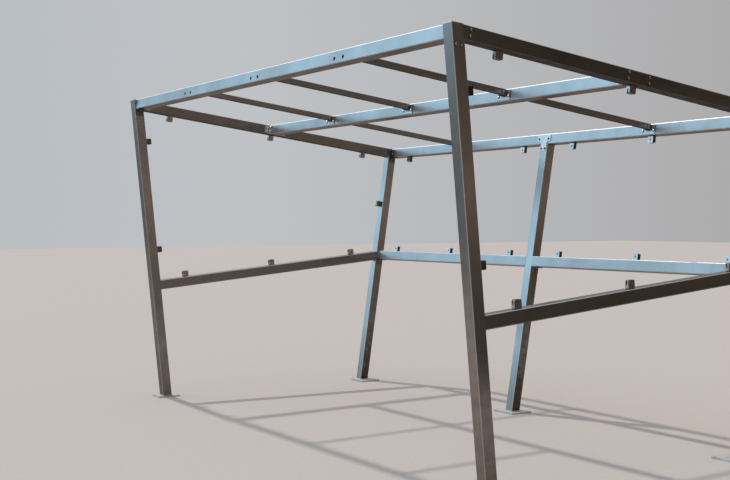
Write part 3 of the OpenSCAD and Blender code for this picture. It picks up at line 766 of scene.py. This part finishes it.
def clamp_frames():
    """A frame for each glass clamp.

    Its top is on Z = 0, its slot is open toward -Z along Y and its screw is on the +X side.
    """
    half_turn_x = Matrix.Rotation(math.pi, 4, "X")
    quarter = Matrix.Rotation(-math.pi / 2, 4, "Z")
    clamp_n = TUBE_W + CLAMP_H / 2
    roof_under = ROOF_Z0 - TUBE_W / cos(ROOF_FALL)
    post_rail = up_the_post(FRONT_LEAN, 0, TUBE_W, RAIL_H, tan(RAIL_RISE))
    post_beam = up_the_post(FRONT_LEAN, 0, TUBE_W, roof_under, -tan(ROOF_FALL))
    back_rail = up_the_post(-BACK_LEAN, FOOT_SPAN, 0, RAIL_H, tan(RAIL_RISE))
    back_beam = up_the_post(-BACK_LEAN, FOOT_SPAN, 0, roof_under, -tan(ROOF_FALL))
    beam_from = FRONT_TOP_Y / cos(ROOF_FALL) + TUBE_W / cos(FRONT_SKEW) + clamp_n * tan(FRONT_SKEW)
    beam_to = BACK_TOP_Y / cos(ROOF_FALL) - clamp_n * tan(BACK_SKEW)
    rail_from = (TUBE_W * cos(FRONT_LEAN) - post_rail * sin(FRONT_LEAN)) / cos(RAIL_RISE)
    rail_to = (FOOT_SPAN + back_rail * sin(BACK_LEAN)) / cos(RAIL_RISE)
    rail_to += CLAMP_H / 2 * tan(BACK_LEAN + RAIL_RISE)
    frames = []
    for side in (-1, 1):
        inward = Matrix.Rotation(math.pi / 2 * (side + 1), 4, "Z")
        for y in spread(beam_from + CLAMP_FRONT, beam_to - CLAMP_BACK):
            frames.append(ROOF @ Matrix.Translation((side * SIDE_X, y, -TUBE_W - SEAT)) @ inward)
        for y in spread(rail_from + CLAMP_FRONT, rail_to - CLAMP_BACK):
            frames.append(RAIL @ Matrix.Translation((side * SIDE_X, y, SEAT)) @ half_turn_x @ inward)
        for x in spread(TUBE_W / 2 + CLAMP_SIDE, SIDE_X - TUBE_W / 2 - CLAMP_SIDE):
            beam_at = (side * x, U_BACK + TUBE_W / 2, -TUBE_W - SEAT)
            rail_at = (side * x, TUBE_W / 2, RAIL_Z + SEAT)
            frames.append(ROOF @ Matrix.Translation(beam_at) @ quarter)
            frames.append(MID_POST @ Matrix.Translation(rail_at) @ quarter @ half_turn_x)
        front_turn = Matrix.Rotation(math.pi / 2, 4, "X")
        back_turn = Matrix.Rotation(-math.pi / 2, 4, "X")
        for z in (post_rail + CLAMP_UP, post_beam - CLAMP_UP):
            post_at = Matrix.Translation((side * SIDE_X, TUBE_W + SEAT, z))
            frames.append(FRONT_POST @ post_at @ front_turn @ inward)
        z = (back_rail + back_beam) / 2
        frames.append(BACK_POST @ Matrix.Translation((side * SIDE_X, -SEAT, z)) @ back_turn @ inward)
    return frames


def box_form(low, high, bevel=0.0004):
    """A block with its edges cut, as three stacked outlines."""
    (x0, y0, z0), (x1, y1, z1) = low, high
    vertices, faces = [], []
    for z, inset in ((z0, bevel), (z0 + bevel, 0), (z1 - bevel, 0), (z1, bevel)):
        xa, xb, ya, yb = x0 + inset, x1 - inset, y0 + inset, y1 - inset
        vertices += [Vector((x, y, z)) for x, y in ((xa, ya), (xb, ya), (xb, yb), (xa, yb))]
    for ring in range(3):
        for step in range(4):
            after = (step + 1) % 4
            faces.append((ring * 4 + step, ring * 4 + after, ring * 4 + 4 + after, ring * 4 + 4 + step))
    faces.append((3, 2, 1, 0))
    faces.append((12, 13, 14, 15))
    return vertices, faces


def clamp_fittings():
    """The screw and the two rubber pads of each glass clamp."""
    screws, pads = [], []
    screw_z = SLOT_D - CLAMP_H - SCREW_IN
    pad_t = 0.0016
    pad_l = CLAMP_L / 2 - 0.003
    pad_inset = 0.002
    for at in clamp_frames():
        screws += placed(at, (CLAMP_W / 2 - HEAD_SINK, 0, screw_z), (1, 0, 0), SCREW)
        for side in (-1, 1):
            inner, outer = SLOT_W / 2 - pad_t, SLOT_W / 2
            low_x, high_x = sorted((side * inner, side * outer))
            low = (low_x, -pad_l, -CLAMP_H + pad_inset)
            form = box_form(low, (high_x, pad_l, -CLAMP_H + SLOT_D - pad_inset))
            pads.append(([at @ v for v in form[0]], form[1]))
    piece("clamp_screws", screws, BOLT)
    piece("clamp_pads", pads, RUBBER)


def outline_points(width, radius, pitch):
    """Points round a square with round corners, at an even pitch."""
    points = []
    flat = width / 2 - radius
    corner_steps = max(3, round(radius * math.pi / 2 / pitch))
    side_steps = round(2 * flat / pitch)
    for quarter in range(4):
        turn = Matrix.Rotation(math.pi / 2 * quarter, 2)
        for step in range(side_steps):
            points.append(turn @ Vector((width / 2, -flat + 2 * flat * step / side_steps)))
        for step in range(corner_steps):
            angle = math.pi / 2 * step / corner_steps
            points.append(turn @ Vector((flat + radius * math.cos(angle), flat + radius * math.sin(angle))))
    return points


def weld_bead(tube_at, plane_point, plane_normal, throat, below_only=False):
    """A rippled bead round a tube where it meets a plane, or only along the tube's +Y side.

    The frame of the tube has the tube's axis on Z.
    """
    axis = (tube_at.to_3x3() @ Vector((0, 0, 1))).normalized()
    normal = Vector(plane_normal).normalized()
    path = []
    outline = outline_points(TUBE_W, TUBE_R, 0.0016)
    if below_only:
        outline = [point for point in outline if point.y > TUBE_W / 2 - TUBE_R / 2]
    for point in outline:
        start = tube_at @ Vector((point.x, point.y, 0))
        path.append(start + axis * ((Vector(plane_point) - start).dot(normal) / axis.dot(normal)))
    centre = sum(path, Vector()) / len(path)
    vertices, faces = [], []
    sides = 7
    last = len(path) - 1
    for index, here in enumerate(path):
        after, before = path[(index + 1) % len(path)], path[index - 1]
        if below_only:
            after, before = path[min(index + 1, last)], path[max(index - 1, 0)]
        along = (after - before).normalized()
        out = along.cross(normal).normalized()
        if out.dot(here - centre) < 0:
            out = -out
        ripple = 1 + 0.16 * math.sin(index * math.tau / 3.1) + random.uniform(-0.06, 0.06)
        size = throat * ripple
        for step in range(sides):
            angle = math.tau * step / sides
            vertices.append(here + out * size * math.cos(angle) + normal * size * math.sin(angle))
    if below_only:
        faces.append(tuple(reversed(range(sides))))
        faces.append(tuple(last * sides + step for step in range(sides)))
    for index in range(last if below_only else len(path)):
        low, high = index * sides, ((index + 1) % len(path)) * sides
        for step in range(sides):
            after = (step + 1) % sides
            faces.append((low + step, low + after, high + after, high + step))
    return vertices, faces


def ground_weld(at, post, side, y, way, face):
    """Weld metal that fills the round corner of a post beside an end beam or rail, ground flush."""
    proud = 0.00015
    x = side * SIDE_X + face * TUBE_W / 2
    low_x, high_x = sorted((x + face * proud, x - face * TUBE_R))
    low_y, high_y = sorted((y + way * 0.001, y - way * TUBE_R))
    across = at.inverted() @ post
    along = across.to_3x3() @ Vector((0, 0, 1))
    start = across @ Vector((x, y, 0))
    low_z = (-TUBE_W + TUBE_R * 0.6 - start.z) / along.z
    high_z = (-TUBE_R * 0.6 - start.z) / along.z
    vertices, faces = box_form((low_x, low_y, low_z), (high_x, high_y, high_z), 0.0001)
    return [post @ v for v in vertices], faces


def welds():
    """Beads at the feet of the posts, and welds where the end beams and end rails meet the corner posts."""
    feet, ends, ground = [], [], []
    corner_feet = [(post, side * SIDE_X) for post in (FRONT_POST, BACK_POST) for side in (-1, 1)]
    for at, x in [*corner_feet, (MID_POST, 0)]:
        tube = at @ Matrix.Translation((x, TUBE_W / 2, 0))
        feet.append(weld_bead(tube, (0, 0, PLATE_T), (0, 0, 1), 0.004))
    along_y = Matrix.Rotation(-math.pi / 2, 4, "X")
    for side in (-1, 1):
        for at in (ROOF, RAIL):
            tube = at @ Matrix.Translation((side * SIDE_X, 0, -TUBE_W / 2)) @ along_y
            for post, y, way in ((FRONT_POST, TUBE_W, 1), (BACK_POST, 0, -1)):
                on_face = post @ Vector((side * SIDE_X, y, 0))
                ends.append(weld_bead(tube, on_face, post.to_3x3() @ Vector((0, way, 0)), 0.003, True))
                ground += [ground_weld(at, post, side, y, way, face) for face in (-1, 1)]
    piece("foot_welds", feet, WELD, smooth=80)
    piece("end_frame_welds", ends, WELD, smooth=80)
    piece("end_frame_ground_welds", ground, END_FRAME)


def floor():
    material, shader = new_material("floor_pale")
    grain = noise(material, 30, (1, 1, 1), 4.0, 0.6, 9.0)
    colour = mixed(material, span(material, grain, 0.3, 0.7), *FLOOR_TONES)
    link(material, colour, shader.inputs["Base Color"])
    shader.inputs["Roughness"].default_value = 0.95
    shader.inputs["Specular IOR Level"].default_value = 0.1
    near, far = FLOOR_NEAR, FLOOR_FAR
    corners = [(-far, -near, 0), (near, -near, 0), (near, far, 0), (-far, far, 0)]
    mesh = bpy.data.meshes.new("floor")
    mesh.from_pydata(corners, [], [(0, 1, 2, 3)])
    made = bpy.data.objects.new("floor", mesh)
    made.data.materials.append(material)
    bpy.context.scene.collection.objects.link(made)


def sun():
    lamp = bpy.data.lights.new("sun", "SUN")
    lamp.energy = SUN_STRENGTH
    lamp.angle = rad(SUN_WIDTH)
    lamp.color = SUN_COLOUR
    made = bpy.data.objects.new("sun", lamp)
    made.rotation_euler = Vector(SUN_TRAVEL).to_track_quat("-Z", "Y").to_euler()
    bpy.context.scene.collection.objects.link(made)


# the surroundings by direction: from the dark side behind on the right, to the front on the left
DARK_SIDE = (0.643, 0.766, 0.0)
SURROUND = [
    (0.00, (0.006, 0.010, 0.005)),
    (0.011, (0.014, 0.014, 0.010)),
    (0.026, (0.085, 0.066, 0.056)),
    (0.06, (0.17, 0.13, 0.115)),
    (0.20, (0.27, 0.23, 0.21)),
    (0.46, (0.44, 0.44, 0.45)),
    (0.62, (0.52, 0.54, 0.56)),
    (0.85, (0.45, 0.49, 0.53)),
    (1.00, (0.22, 0.25, 0.27)),
]
# a wide soft light above the horizon at the front on the left
SOFT_LIGHT = (0.49, 0.88, 1.22)
SOFT_HEIGHT = (-0.01, 0.11)
SOFT_SIDE = (0.45, 0.80)
# a faint warm band at the horizon
GLOW = (0.32, 0.235, 0.18)
GLOW_FROM = (-0.045, 0.0)
GLOW_TO = (0.04, 0.10)
GLOW_SIDE = (-0.2, -0.6)
# a pale ceiling overhead
CEILING = (0.42, 0.46, 0.50)
CEILING_HEIGHT = (0.35, 0.85)


def world():
    """A soft studio: a large cool light at the front left, a dim warm side behind on the right."""
    made = bpy.data.worlds.new("surround")
    bpy.context.scene.world = made
    made.use_nodes = True
    tree = made.node_tree
    tree.nodes.clear()

    def ranged(value, low, high, smooth=False):
        node = tree.nodes.new("ShaderNodeMapRange")
        node.interpolation_type = "SMOOTHSTEP" if smooth else "LINEAR"
        node.inputs["From Min"].default_value = low
        node.inputs["From Max"].default_value = high
        tree.links.new(value, node.inputs["Value"])
        return node.outputs["Result"]

    def product(first, second):
        node = tree.nodes.new("ShaderNodeMath")
        node.operation = "MULTIPLY"
        tree.links.new(first, node.inputs[0])
        tree.links.new(second, node.inputs[1])
        return node.outputs[0]

    def lit(base, share_of, colour):
        node = tree.nodes.new("ShaderNodeMix")
        node.data_type = "RGBA"
        node.blend_type = "ADD"
        node.inputs[7].default_value = (*colour, 1)
        tree.links.new(share_of, node.inputs[0])
        tree.links.new(base, node.inputs[6])
        return node.outputs[2]

    place = tree.nodes.new("ShaderNodeTexCoord")
    away = tree.nodes.new("ShaderNodeVectorMath")
    away.operation = "DOT_PRODUCT"
    away.inputs[1].default_value = -Vector(DARK_SIDE).normalized()
    tree.links.new(place.outputs["Generated"], away.inputs[0])
    parts = tree.nodes.new("ShaderNodeSeparateXYZ")
    tree.links.new(place.outputs["Generated"], parts.inputs[0])
    height, side = parts.outputs["Z"], away.outputs["Value"]

    ramp = tree.nodes.new("ShaderNodeValToRGB")
    stops = ramp.color_ramp.elements
    while len(stops) < len(SURROUND):
        stops.new(0.5)
    for stop, (position, colour) in zip(stops, SURROUND):
        stop.position = position
        stop.color = (*colour, 1)
    tree.links.new(ranged(side, -1.0, 1.0), ramp.inputs["Fac"])

    soft = product(ranged(height, *SOFT_HEIGHT, True), ranged(side, *SOFT_SIDE, True))
    band = product(ranged(height, *GLOW_FROM, True), ranged(height, *reversed(GLOW_TO), True))
    around = lit(ramp.outputs["Color"], soft, SOFT_LIGHT)
    warm = lit(around, product(band, ranged(side, *GLOW_SIDE, True)), GLOW)
    whole = lit(warm, ranged(height, *CEILING_HEIGHT, True), CEILING)
    background = tree.nodes.new("ShaderNodeBackground")
    output = tree.nodes.new("ShaderNodeOutputWorld")
    tree.links.new(whole, background.inputs["Color"])
    tree.links.new(background.outputs[0], output.inputs[0])


def camera():
    """The camera at the photograph's viewing angle."""
    ahead = Vector((sin(CAMERA_YAW), cos(CAMERA_YAW), 0))
    forward = ahead * cos(CAMERA_PITCH) + Vector((0, 0, sin(CAMERA_PITCH)))
    level = Vector((cos(CAMERA_YAW), -sin(CAMERA_YAW), 0))
    above = level.cross(forward)
    right = level * cos(CAMERA_ROLL) + above * sin(CAMERA_ROLL)
    up = above * cos(CAMERA_ROLL) - level * sin(CAMERA_ROLL)
    lens = bpy.data.cameras.new("camera")
    lens.sensor_width = SENSOR_MM
    lens.lens = FOCAL_PX * SENSOR_MM / IMAGE_PX[0]
    lens.shift_x = (IMAGE_PX[0] / 2 - CENTRE_PX[0]) / IMAGE_PX[0]
    lens.shift_y = (CENTRE_PX[1] - IMAGE_PX[1] / 2) / IMAGE_PX[0]
    made = bpy.data.objects.new("camera", lens)
    turn = Matrix((right, up, -forward)).transposed().to_4x4()
    made.matrix_world = Matrix.Translation(CAMERA_AT) @ turn
    bpy.context.scene.collection.objects.link(made)
    bpy.context.scene.camera = made


dress_nodes()
shelf_fasteners()
cleat_fasteners()
shoe_fasteners()
joint_fasteners()
clamp_fittings()
welds()
floor()
sun()
world()
camera()
bpy.context.scene.view_settings.view_transform = "Standard"
